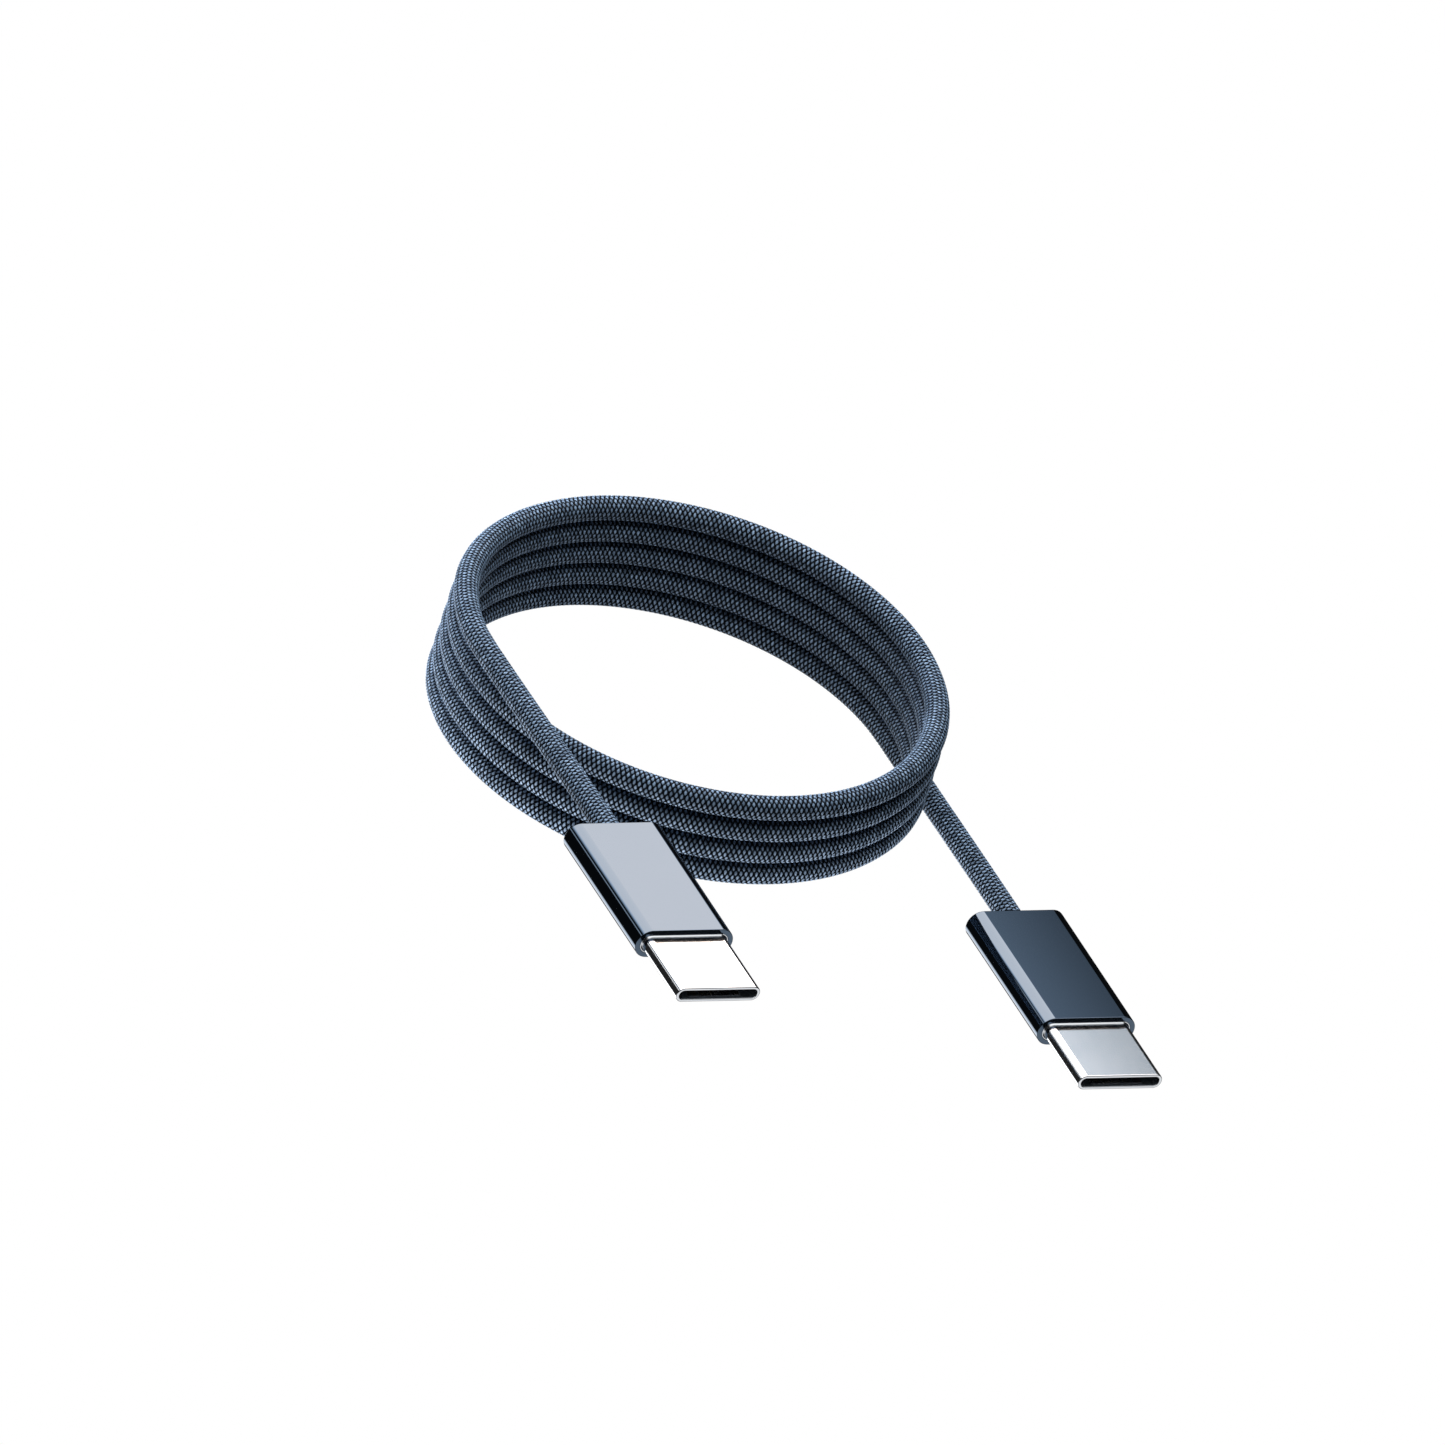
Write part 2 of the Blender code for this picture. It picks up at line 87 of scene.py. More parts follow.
# Walls and depths of the plug's outer parts
SHELL_WALL = 0.28 * MM
SHELL_LIP = 0.09 * MM
CASING_WALL = 0.25 * MM
CASING_LIP = 0.46 * MM
CASING_LIP_DEPTH = 0.85 * MM
CASING_REAR_WALL = 1.06 * MM
CASING_RIM_RADIUS = 0.06 * MM
CASING_REAR_RADIUS = 0.10 * MM
CORD_GAP = 0.04 * MM
RING_GAP = 0.03 * MM
RING_SLOPE = 0.10 * MM
RIM_SEGMENTS = 128

# The braid: yarns in each hand, and the columns of points that carry its relief
YARNS = 8
COLUMNS = 4 * YARNS
ROUTE_STEPS_PER_TURN = 48
TAIL_STEPS = 16

# Bands that the metal mirrors, by the angle from +X to +Z in degrees where each starts,
# is full, starts to end and ends, and strength
LOW_STRIP = (-125, -114, -92, -78, 2.4)
SIDE_STRIP = (144, 147, 150, 153, 1.44)
AHEAD_LIGHT = 0.76
OVERHEAD_LIGHT = (0.016, 1.12)

# Soft panels round the coil: azimuth from +X, elevation, width and height in degrees
# as the coil sees them, strength and colour
PANELS = {
    "back_strip": (90, 6, 60, 12, 15.0, (0.72, 0.92, 1.10)),
    "back_panel": (90, 26, 60, 28, 4.3, (0.95, 0.98, 1.10)),
    "high_panel": (95, 55, 110, 28, 1.8, (0.97, 1.0, 1.0)),
    "top_panel": (90, 90, 36, 36, 5.2, (0.90, 1.02, 1.08)),
}
PANEL_DISTANCE = 1.2

# Light from the floor round the coil: where it fades out and where it comes up inside,
# by distance from the coil's middle, and its change to the left and right, by X
FLOOR_SIZE = 6.0
ROUND_COIL_FADE = (0.029, 0.046)
INSIDE_COIL_FADE = (0.019, 0.025)
INSIDE_COIL_LIGHT = 0.22
LEFT_FADE = (0.0, -0.035)
LEFT_LIGHT = 1.7
RIGHT_FADE = (0.024, 0.034)
RIGHT_LIGHT = 0.25

# The lit patch on the floor, with its start and end behind the coil's middle
PATCH_HALF_WIDTH = 0.110
PATCH_START = 0.060
PATCH_END = 0.200
PATCH_LIGHT = 12.0

# The softbox that the metal mirrors, with its fades by X. A spill is (start, end,
# strength at the start, strength at the end).
SOFTBOX_SIZE = (0.29, 0.20)
SOFTBOX_MIDDLE = (0.005, 0.14, 0.125)
CORE_LEFT_FADE = (-0.135, -0.070)
CORE_RIGHT_FADE = (0.098, 0.122)
SPILL_COLOUR = (0.85, 0.98, 1.10)
LEFT_SPILL = (-0.140, -0.100, 0.25, 1.0)
RIGHT_SPILL = (0.124, 0.138, 0.80, 0.22)

# Middle of the view, from the middle of the cable's box
AIM_OFFSET = Vector((1.363, 9.872, -0.009)) * MM
CLIP_START = 0.05


class CordSettings(bpy.types.PropertyGroup):
    """Sizes and colours of the braided cord."""

    diameter: bpy.props.FloatProperty(
        name="Diameter",
        description="Outside diameter of the braided cord",
        default=2.22 * MM,
        min=0.5 * MM,
        unit="LENGTH",
        precision=5,
    )
    coil_radius: bpy.props.FloatProperty(
        name="Coil radius",
        description="Radius of the coil at the middle of the cord",
        default=21.43 * MM,
        min=5 * MM,
        unit="LENGTH",
        precision=5,
    )
    coil_pitch: bpy.props.FloatProperty(
        name="Coil pitch",
        description="Rise of the coil in one turn",
        default=2.284 * MM,
        min=0.5 * MM,
        unit="LENGTH",
        precision=5,
    )
    turns: bpy.props.FloatProperty(
        name="Turns",
        description="Turns in the coil",
        default=4.5,
        min=0.5,
    )
    stitch: bpy.props.FloatProperty(
        name="Stitch length",
        description="Length along the cord of one stitch of the braid",
        default=0.460 * MM,
        min=0.1 * MM,
        unit="LENGTH",
        precision=5,
    )
    relief: bpy.props.FloatProperty(
        name="Relief",
        description="Height of a stitch over the gaps between stitches",
        default=0.135 * MM,
        min=0.0,
        unit="LENGTH",
        precision=5,
    )
    yarn_colour: bpy.props.FloatVectorProperty(
        name="Yarn",
        description="Colour of the yarn",
        default=(0.042, 0.063, 0.100),
        size=3,
        min=0.0,
        max=1.0,
        subtype="COLOR",
    )
    light_colour: bpy.props.FloatVectorProperty(
        name="Light fibres",
        description="Colour of the lightest fibres",
        default=(0.38, 0.50, 0.68),
        size=3,
        min=0.0,
        max=1.0,
        subtype="COLOR",
    )
    # Painted shade: this near-black colour fills the gaps between stitches, where shade
    # falls between the yarns
    gap_shade_colour: bpy.props.FloatVectorProperty(
        name="Gaps",
        description="Colour in the gaps between stitches",
        default=(0.0015, 0.002, 0.003),
        size=3,
        min=0.0,
        max=1.0,
        subtype="COLOR",
    )


class PlugSettings(bpy.types.PropertyGroup):
    """Finishes of the plugs."""

    casing_colour: bpy.props.FloatVectorProperty(
        name="Casing",
        description="Colour of the polished dark casing",
        default=(0.100, 0.138, 0.190),
        size=3,
        min=0.0,
        max=1.0,
        subtype="COLOR",
    )
    casing_roughness: bpy.props.FloatProperty(
        name="Casing roughness",
        description="Roughness of the casing's polish",
        default=0.06,
        min=0.0,
        max=1.0,
        subtype="FACTOR",
    )
    shell_colour: bpy.props.FloatVectorProperty(
        name="Shell",
        description="Colour of the bright connector shell",
        default=(0.86, 0.89, 0.93),
        size=3,
        min=0.0,
        max=1.0,
        subtype="COLOR",
    )
    shell_roughness: bpy.props.FloatProperty(
        name="Shell roughness",
        description="Roughness of the shell's plating",
        default=0.14,
        min=0.0,
        max=1.0,
        subtype="FACTOR",
    )


class StageSettings(bpy.types.PropertyGroup):
    """Camera and light of the studio stage."""

    azimuth: bpy.props.FloatProperty(
        name="Azimuth",
        description="Direction of the camera round the cable, from straight in front",
        default=math.radians(-33.8),
        subtype="ANGLE",
    )
    elevation: bpy.props.FloatProperty(
        name="Elevation",
        description="Height of the camera over the floor, as an angle",
        default=math.radians(31.7),
        subtype="ANGLE",
    )
    roll: bpy.props.FloatProperty(
        name="Roll",
        description="Turn of the camera about its own axis",
        default=math.radians(18.17),
        subtype="ANGLE",
    )
    distance: bpy.props.FloatProperty(
        name="Distance",
        description="Distance from the camera to the middle of the view",
        default=1.0,
        min=0.2,
        unit="LENGTH",
    )
    view_width: bpy.props.FloatProperty(
        name="View width",
        description="Width of the view at the middle of the cable",
        default=0.12576,
        min=0.01,
        unit="LENGTH",
        precision=5,
    )
    room_light: bpy.props.FloatProperty(
        name="Room light",
        description="Strength of the even light from all sides",
        default=0.02,
        min=0.0,
    )
    panel_light: bpy.props.FloatProperty(
        name="Panel light",
        description="Strength of the four soft panels that light the cord",
        default=1.08,
        min=0.0,
    )
    floor_light: bpy.props.FloatProperty(
        name="Floor light",
        description="Strength of the light that comes back from the floor",
        default=2.6,
        min=0.0,
    )
    softbox_light: bpy.props.FloatProperty(
        name="Softbox light",
        description="Strength of the soft panel that the metal mirrors",
        default=3.6,
        min=0.0,
    )
    softbox_colour: bpy.props.FloatVectorProperty(
        name="Softbox colour",
        description="Colour of the soft panel",
        default=(0.96, 0.80, 0.69),
        size=3,
        min=0.0,
        max=1.0,
        subtype="COLOR",
    )


# Shader nodes


def add_node(tree, kind, **settings):
    made = tree.nodes.new(kind)
    for name, value in settings.items():
        setattr(made, name, value)
    return made


def join(tree, source, target):
    """Sets a socket, from another socket or from a plain value."""
    if isinstance(source, bpy.types.NodeSocket):
        tree.links.new(source, target)
    elif source is not None:
        target.default_value = source


def calc(tree, operation, *values, clamp=False):
    made = add_node(tree, "ShaderNodeMath", operation=operation, use_clamp=clamp)
    for value, socket in zip(values, made.inputs):
        join(tree, value, socket)
    return made.outputs[0]


def blend_colour(tree, factor, low, high, mode="MIX"):
    made = add_node(tree, "ShaderNodeMix", data_type="RGBA", blend_type=mode)
    join(tree, factor, made.inputs["Factor"])
    join(tree, low, made.inputs["A"])
    join(tree, high, made.inputs["B"])
    return made.outputs["Result"]


def remap(tree, value, low, high, to_low=0.0, to_high=1.0, smooth=False):
    made = add_node(tree, "ShaderNodeMapRange")
    made.interpolation_type = "SMOOTHSTEP" if smooth else "LINEAR"
    for index, source in enumerate((value, low, high, to_low, to_high)):
        join(tree, source, made.inputs[index])
    return made.outputs[0]


def noise(tree, vector, scale, detail=2.0, roughness=0.5, distortion=0.0):
    made = add_node(tree, "ShaderNodeTexNoise")
    join(tree, vector, made.inputs["Vector"])
    made.inputs["Scale"].default_value = scale
    made.inputs["Detail"].default_value = detail
    made.inputs["Roughness"].default_value = roughness
    made.inputs["Distortion"].default_value = distortion
    return made.outputs["Fac"]


def stretched(tree, vector, scale):
    made = add_node(tree, "ShaderNodeMapping")
    join(tree, vector, made.inputs["Vector"])
    made.inputs["Scale"].default_value = scale
    return made.outputs["Vector"]


def new_group(name, inputs, outputs):
    """An empty node group with named sockets, and the nodes that hold them."""
    tree = bpy.data.node_groups.new(name, "ShaderNodeTree")
    for label, kind, value in inputs:
        socket = tree.interface.new_socket(label, in_out="INPUT", socket_type=kind)
        if value is not None:
            socket.default_value = value
    for label, kind in outputs:
        tree.interface.new_socket(label, in_out="OUTPUT", socket_type=kind)
    return (
        tree,
        add_node(tree, "NodeGroupInput").outputs,
        add_node(tree, "NodeGroupOutput").inputs,
    )


def braid_group():
    """Two hands of yarn that pass over and under each other, stitch by stitch, with a
    painted highlight on each stitch's crown and painted shade in the gaps.
    """
    tree, given, put = new_group(
        "braided_yarn",
        (
            ("Lattice", "NodeSocketVector", None),
            ("Yarn", "NodeSocketColor", (0.06, 0.08, 0.12, 1.0)),
            ("Light Fibres", "NodeSocketColor", (0.2, 0.25, 0.35, 1.0)),
            ("Gap", "NodeSocketColor", (0.0, 0.0, 0.01, 1.0)),
        ),
        (
            ("Color", "NodeSocketColor"),
            ("Roughness", "NodeSocketFloat"),
            ("Height", "NodeSocketFloat"),
        ),
    )
    split = add_node(tree, "ShaderNodeSeparateXYZ")
    join(tree, given["Lattice"], split.inputs[0])
    rising = calc(tree, "ADD", split.outputs[0], split.outputs[1])
    falling = calc(tree, "SUBTRACT", split.outputs[0], split.outputs[1])
    rising_count = calc(tree, "FLOOR", rising)
    falling_count = calc(tree, "FLOOR", falling)
    rising_place = calc(tree, "FRACT", rising)
    falling_place = calc(tree, "FRACT", falling)
    total = calc(tree, "ADD", rising_count, falling_count)
    over = calc(tree, "FLOORED_MODULO", total, 2.0)
    swap = calc(tree, "SUBTRACT", falling_place, rising_place)
    across = calc(tree, "MULTIPLY_ADD", over, swap, rising_place)
    back = calc(tree, "MULTIPLY", over, swap)
    along = calc(tree, "SUBTRACT", falling_place, back)

    def arch(place):
        centred = calc(tree, "MULTIPLY_ADD", place, 2.0, -1.0)
        squared = calc(tree, "MULTIPLY", centred, centred)
        return calc(tree, "SUBTRACT", 1.0, squared, clamp=True)

    crown = calc(tree, "SQRT", arch(across))
    rise = calc(tree, "MULTIPLY_ADD", arch(along), 0.65, 0.35)
    height = calc(tree, "MULTIPLY", crown, rise)
    filament = calc(tree, "SINE", calc(tree, "MULTIPLY", across, math.tau * 4))
    height = calc(tree, "MULTIPLY_ADD", filament, 0.05, height)

    yarn_count = calc(
        tree,
        "MULTIPLY_ADD",
        over,
        calc(tree, "SUBTRACT", falling_count, rising_count),
        rising_count,
    )
    key = add_node(tree, "ShaderNodeCombineXYZ")
    join(tree, yarn_count, key.inputs[0])
    join(tree, over, key.inputs[1])
    yarn_tone = add_node(tree, "ShaderNodeTexWhiteNoise", noise_dimensions="3D")
    join(tree, key.outputs[0], yarn_tone.inputs["Vector"])
    pair = add_node(tree, "ShaderNodeCombineXYZ")
    join(tree, rising_count, pair.inputs[0])
    join(tree, falling_count, pair.inputs[1])
    stitch_tone = add_node(tree, "ShaderNodeTexWhiteNoise", noise_dimensions="3D")
    join(tree, pair.outputs[0], stitch_tone.inputs["Vector"])
    fibre = noise(tree, stretched(tree, given["Lattice"], (3.0, 3.0, 1.0)), 2.6, 3.0)
    tone = calc(tree, "MULTIPLY", yarn_tone.outputs["Value"], 0.45)
    tone = calc(tree, "MULTIPLY_ADD", stitch_tone.outputs["Value"], 0.35, tone)
    tone = calc(tree, "MULTIPLY_ADD", fibre, 0.50, tone)
    tone = calc(tree, "MULTIPLY_ADD", filament, 0.08, tone)
    # The random fibre tone is the yarn's own, but it shows only near each stitch's crown:
    # a painted highlight, lighter where the stitch rises
    fibre_tone_and_crown_highlight = calc(tree, "MULTIPLY", tone, remap(tree, height, 0.50, 0.98, smooth=True))
    colour = blend_colour(tree, fibre_tone_and_crown_highlight, given["Yarn"], given["Light Fibres"])
    # Painted shade: low on each stitch and in the gaps the colour goes over to the
    # near-black Gap colour, in place of the shade between yarns
    shown = remap(tree, height, 0.48, 0.88, smooth=True)
    join(tree, blend_colour(tree, shown, given["Gap"], colour), put["Color"])
    join(tree, remap(tree, tone, 0.2, 0.9, 0.78, 0.52), put["Roughness"])
    join(tree, height, put["Height"])
    return tree


def grain_group():
    """Fine polish marks, smudges and tiny pits for hard surfaces."""
    tree, given, put = new_group(
        "surface_grain",
        (
            ("Position", "NodeSocketVector", None),
            ("Color", "NodeSocketColor", (0.5, 0.5, 0.5, 1.0)),
            ("Roughness", "NodeSocketFloat", 0.3),
            ("Marks", "NodeSocketFloat", 0.3),
            ("Mottle", "NodeSocketFloat", 0.1),
        ),
        (
            ("Color", "NodeSocketColor"),
            ("Roughness", "NodeSocketFloat"),
            ("Height", "NodeSocketFloat"),
        ),
    )
    brushed = noise(tree, stretched(tree, given["Position"], (9000, 500, 9000)), 1.0)
    smudge = noise(tree, given["Position"], 260.0, 3.0, 0.55, 0.6)
    pits = noise(tree, given["Position"], 14000.0, 1.0)
    lines = calc(tree, "MULTIPLY_ADD", brushed, 2.0, -1.0)
    patch = calc(tree, "MULTIPLY_ADD", smudge, 2.0, -1.0)
    change = calc(tree, "MULTIPLY_ADD", patch, 0.6, calc(tree, "MULTIPLY", lines, 0.4))
    change = calc(tree, "MULTIPLY", change, given["Marks"])
    factor = calc(tree, "MAXIMUM", calc(tree, "ADD", change, 1.0), 0.2)
    join(
        tree, calc(tree, "MULTIPLY", given["Roughness"], factor), put["Roughness"]
    )
    dark = blend_colour(
        tree, 1.0, given["Color"], (0.72, 0.74, 0.78, 1.0), mode="MULTIPLY"
    )
    amount = calc(tree, "MULTIPLY", smudge, given["Mottle"], clamp=True)
    join(tree, blend_colour(tree, amount, given["Color"], dark), put["Color"])
    join(tree, calc(tree, "MULTIPLY_ADD", lines, 0.3, pits), put["Height"])
    return tree


def put_group(tree, group, **values):
    made = add_node(tree, "ShaderNodeGroup", node_tree=group)
    for label, value in values.items():
        join(tree, value, made.inputs[label.replace("_", " ").title()])
    return made


def new_material(name):
    made = bpy.data.materials.new(name)
    made.use_nodes = True
    tree = made.node_tree
    return made, tree, tree.nodes["Principled BSDF"]


def bump(tree, shader, height, strength, distance):
    made = add_node(tree, "ShaderNodeBump")
    made.inputs["Strength"].default_value = strength
    made.inputs["Distance"].default_value = distance
    join(tree, height, made.inputs["Height"])
    join(tree, made.outputs["Normal"], shader.inputs["Normal"])


def hard_material(name, colour, metallic, roughness, marks, mottle, depth):
    """A metal or plastic with polish marks, on the object's own coordinates."""
    made, tree, shader = new_material(name)
    place = add_node(tree, "ShaderNodeTexCoord").outputs["Object"]
    grain = put_group(
        tree,
        bpy.data.node_groups["surface_grain"],
        position=place,
        color=(*colour, 1.0),
        roughness=roughness,
        marks=marks,
        mottle=mottle,
    )
    join(tree, grain.outputs["Color"], shader.inputs["Base Color"])
    join(tree, grain.outputs["Roughness"], shader.inputs["Roughness"])
    shader.inputs["Metallic"].default_value = metallic
    bump(tree, shader, grain.outputs["Height"], 0.5, depth)
    made.diffuse_color = (*colour, 1.0)
    return made


def braid_material(cord):
    made, tree, shader = new_material("navy_braid")
    lattice = add_node(tree, "ShaderNodeUVMap", uv_map="lattice").outputs["UV"]
    braid = put_group(
        tree,
        braid_group(),
        lattice=lattice,
        yarn=(*cord.yarn_colour, 1.0),
        light_fibres=(*cord.light_colour, 1.0),
        # Painted shade for the gaps between stitches
        gap=(*cord.gap_shade_colour, 1.0),
    )
    join(tree, braid.outputs["Color"], shader.inputs["Base Color"])
    join(tree, braid.outputs["Roughness"], shader.inputs["Roughness"])
    shader.inputs["Specular IOR Level"].default_value = 0.10
    shader.inputs["Specular Tint"].default_value = (0.7, 0.85, 1.0, 1.0)
    bump(tree, shader, braid.outputs["Height"], 0.9, cord.relief)
    made.diffuse_color = (*cord.yarn_colour, 1.0)
    return made


# Shapes


def piece(name, bm, material, sharp=30.0):
    """Makes a named piece of a bmesh, smooth except over its sharper edges."""
    limit = math.radians(sharp)
    for face in bm.faces:
        face.smooth = True
    for edge in bm.edges:
        edge.smooth = edge.calc_face_angle(0.0) < limit
    mesh = bpy.data.meshes.new(name)
    bm.to_mesh(mesh)
    bm.free()
    mesh.materials.append(material)
    made = bpy.data.objects.new(name, mesh)
    bpy.context.scene.collection.objects.link(made)
    return made


def even_flats(made):
    """Keeps the broad flats true where a narrow rounding meets them."""
    modifier = made.modifiers.new("even_flats", "WEIGHTED_NORMAL")
    modifier.mode = "FACE_AREA"
    modifier.weight = 50
    modifier.keep_sharp = True


def flat_oval_loft(rings, rounded=()):
    """A closed tube-like body through flat ovals.

    Each ring is (half length of the flat, end radius, y). The last joins the first.
    rounded holds (ring number, radius) for the rings whose edge is rounded over.
    """
    bm = bmesh.new()
    start = bmesh.ops.create_circle(
        bm,
        segments=RIM_SEGMENTS,
        radius=1.0 / math.cos(math.pi / RIM_SEGMENTS),
        matrix=Matrix.Rotation(math.pi / 2, 4, "X")
        @ Matrix.Rotation(math.pi / RIM_SEGMENTS, 4, "Z"),
    )["verts"]
    loop = list({edge for vert in start for edge in vert.link_edges})
    units = [vert.co.copy() for vert in start]
    loops = []
    verts = start
    for number, (flat, radius, y) in enumerate(rings):
        if number:
            raised = bmesh.ops.extrude_edge_only(bm, edges=loop)["geom"]
            loop = [item for item in raised if isinstance(item, bmesh.types.BMEdge)]
            new = [item for item in raised if isinstance(item, bmesh.types.BMVert)]
            partner = {}
            for vert in new:
                for edge in vert.link_edges:
                    other = edge.other_vert(vert)
                    if edge not in loop:
                        partner[other] = vert
            loop = [edge for edge in loop if all(v in new for v in edge.verts)]
            verts = [partner[vert] for vert in verts]
        for vert, unit in zip(verts, units):
            side = math.copysign(flat, unit.x)
            vert.co = (side + radius * unit.x, y, radius * unit.z)
        loops.append(list(loop))
    bmesh.ops.bridge_loops(bm, edges=loops[-1] + loops[0])
    for number, radius in rounded:
        bmesh.ops.bevel(
            bm,
            geom=loops[number],
            offset=radius,
            segments=4,
            profile=0.5,
            affect="EDGES",
            material=-1,
        )
    bmesh.ops.recalc_face_normals(bm, faces=bm.faces)
    return bm


def oval_of(node):
    """Middle, flat half length and end radius of a node's outline, and its y limits."""
    low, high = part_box(node)
    radius = (high.z - low.z) / 2
    flat = (high.x - low.x) / 2 - radius
    middle = Vector(((low.x + high.x) / 2, 0, (low.z + high.z) / 2))
    return middle, flat, radius, low.y, high.y


def place_plug_piece(name, bm, middle, material, node):
    bmesh.ops.translate(bm, verts=bm.verts, vec=middle)
    made = piece(name, bm, material)
    even_flats(made)
    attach(made, "cable")
    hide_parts(node)
    return made


def coil_top(cord):
    return COIL_LOW_Z + cord.turns * cord.coil_pitch


def tail_route(x, plug_z, coil_z, lead):
    """Centre line of a tail from inside its casing to the side of the coil."""
    points = []
    for step in range(TAIL_STEPS):
        y = CORD_END_Y + (COIL_Y - CORD_END_Y) * step / TAIL_STEPS
        share = min(max((y - REAR_Y - lead) / (COIL_Y - REAR_Y - lead), 0.0), 1.0)
        share = share * share * (3 - 2 * share)
        points.append(Vector((x, y, plug_z + (coil_z - plug_z) * share)))
    return points


def cord_route(cord):
    """Centre line of the whole cord, from the left plug to the right plug."""
    radius = cord.coil_radius
    top = coil_top(cord)
    route = tail_route(-radius, LEFT_PLUG_Z, top, cord.diameter)
    steps = round(cord.turns * ROUTE_STEPS_PER_TURN)
    for step in range(steps + 1):
        share = step / steps
        angle = math.pi - math.tau * cord.turns * share
        x, y = radius * math.cos(angle), COIL_Y + radius * math.sin(angle)
        route.append(Vector((x, y, top + (COIL_LOW_Z - top) * share)))
    route += tail_route(radius, RIGHT_PLUG_Z, COIL_LOW_Z, cord.diameter)[::-1]
    return route


def smooth_route(points, spacing):
    """Even samples, and directions, of the smooth curve through the points."""
    held = np.array([points[0] * 2 - points[1], *points, points[-1] * 2 - points[-2]])
    before, first, second, after = held[:-3], held[1:-2], held[2:-1], held[3:]
    steps = np.linspace(0, 1, 24, endpoint=False)[None, :, None]
    before, first, second, after = (
        group[:, None, :] for group in (before, first, second, after)
    )
    curve = 0.5 * (
        2 * first
        + (second - before) * steps
        + (2 * before - 5 * first + 4 * second - after) * steps**2
        + (3 * first - before - 3 * second + after) * steps**3
    )
    curve = np.vstack([curve.reshape(-1, 3), held[-2]])
    gaps = np.linalg.norm(np.diff(curve, axis=0), axis=1)
    gone = np.concatenate([[0], np.cumsum(gaps)])
    count = round(gone[-1] / spacing)
    wanted = np.linspace(0, gone[-1], count + 1)
    places = np.stack([np.interp(wanted, gone, curve[:, k]) for k in range(3)], axis=1)
    ways = np.gradient(places, axis=0)
    return places, ways / np.linalg.norm(ways, axis=1)[:, None], gone[-1]


def stitch_height(around, along):
    """Height of the braid at points of the lattice, 0 in a gap and 1 on a stitch."""
    middle = 1 - (2 * ((around + along) % 1) - 1) ** 2
    length = 1 - (2 * ((around - along) % 1) - 1) ** 2
    return np.sqrt(middle * length)


def braided_tube(cord, route):
    """A rolled grid whose points rise at each stitch and sink at each gap."""
    places, ways, length = smooth_route(route, cord.stitch / 2)
    rings = len(places) - 1
    bm = bmesh.new()
    lattice = bm.loops.layers.uv.new("lattice")
    bmesh.ops.create_grid(
        bm,
        x_segments=COLUMNS,
        y_segments=rings,
        size=0.5,
        matrix=Matrix.Diagonal((COLUMNS, rings, 1, 1))
        @ Matrix.Translation((0.5, 0.5, 0)),
    )
    for face in bm.faces:
        for loop in face.loops:
            spot = loop.vert.co
            around = round(spot.x) * YARNS / COLUMNS
            loop[lattice].uv = (around, round(spot.y) / 2)
    mesh = bpy.data.meshes.new("flat_braid")
    bm.to_mesh(mesh)
    bm.free()
    spots = np.empty(len(mesh.vertices) * 3)
    mesh.vertices.foreach_get("co", spots)
    column, ring = np.round(spots.reshape(-1, 3)[:, :2]).astype(int).T
    upward = np.array([0.0, 0.0, 1.0])
    sideways = np.cross(ways, upward)
    sideways /= np.linalg.norm(sideways, axis=1)[:, None]
    raised = np.cross(sideways, ways)
    angle = (column % COLUMNS) * (math.tau / COLUMNS)
    height = stitch_height(column * YARNS / COLUMNS, ring / 2)
    reach = (cord.diameter / 2 + (height - 1) * cord.relief)[:, None]
    outward = np.cos(angle)[:, None] * sideways[ring]
    outward += np.sin(angle)[:, None] * raised[ring]
    mesh.vertices.foreach_set("co", (places[ring] + reach * outward).ravel())
    bm = bmesh.new()
    bm.from_mesh(mesh)
    bpy.data.meshes.remove(mesh)
    bmesh.ops.remove_doubles(bm, verts=bm.verts, dist=1e-7)
    bmesh.ops.holes_fill(bm, edges=[edge for edge in bm.edges if edge.is_boundary])
    bmesh.ops.recalc_face_normals(bm, faces=bm.faces)
    return bm, length


# Stage


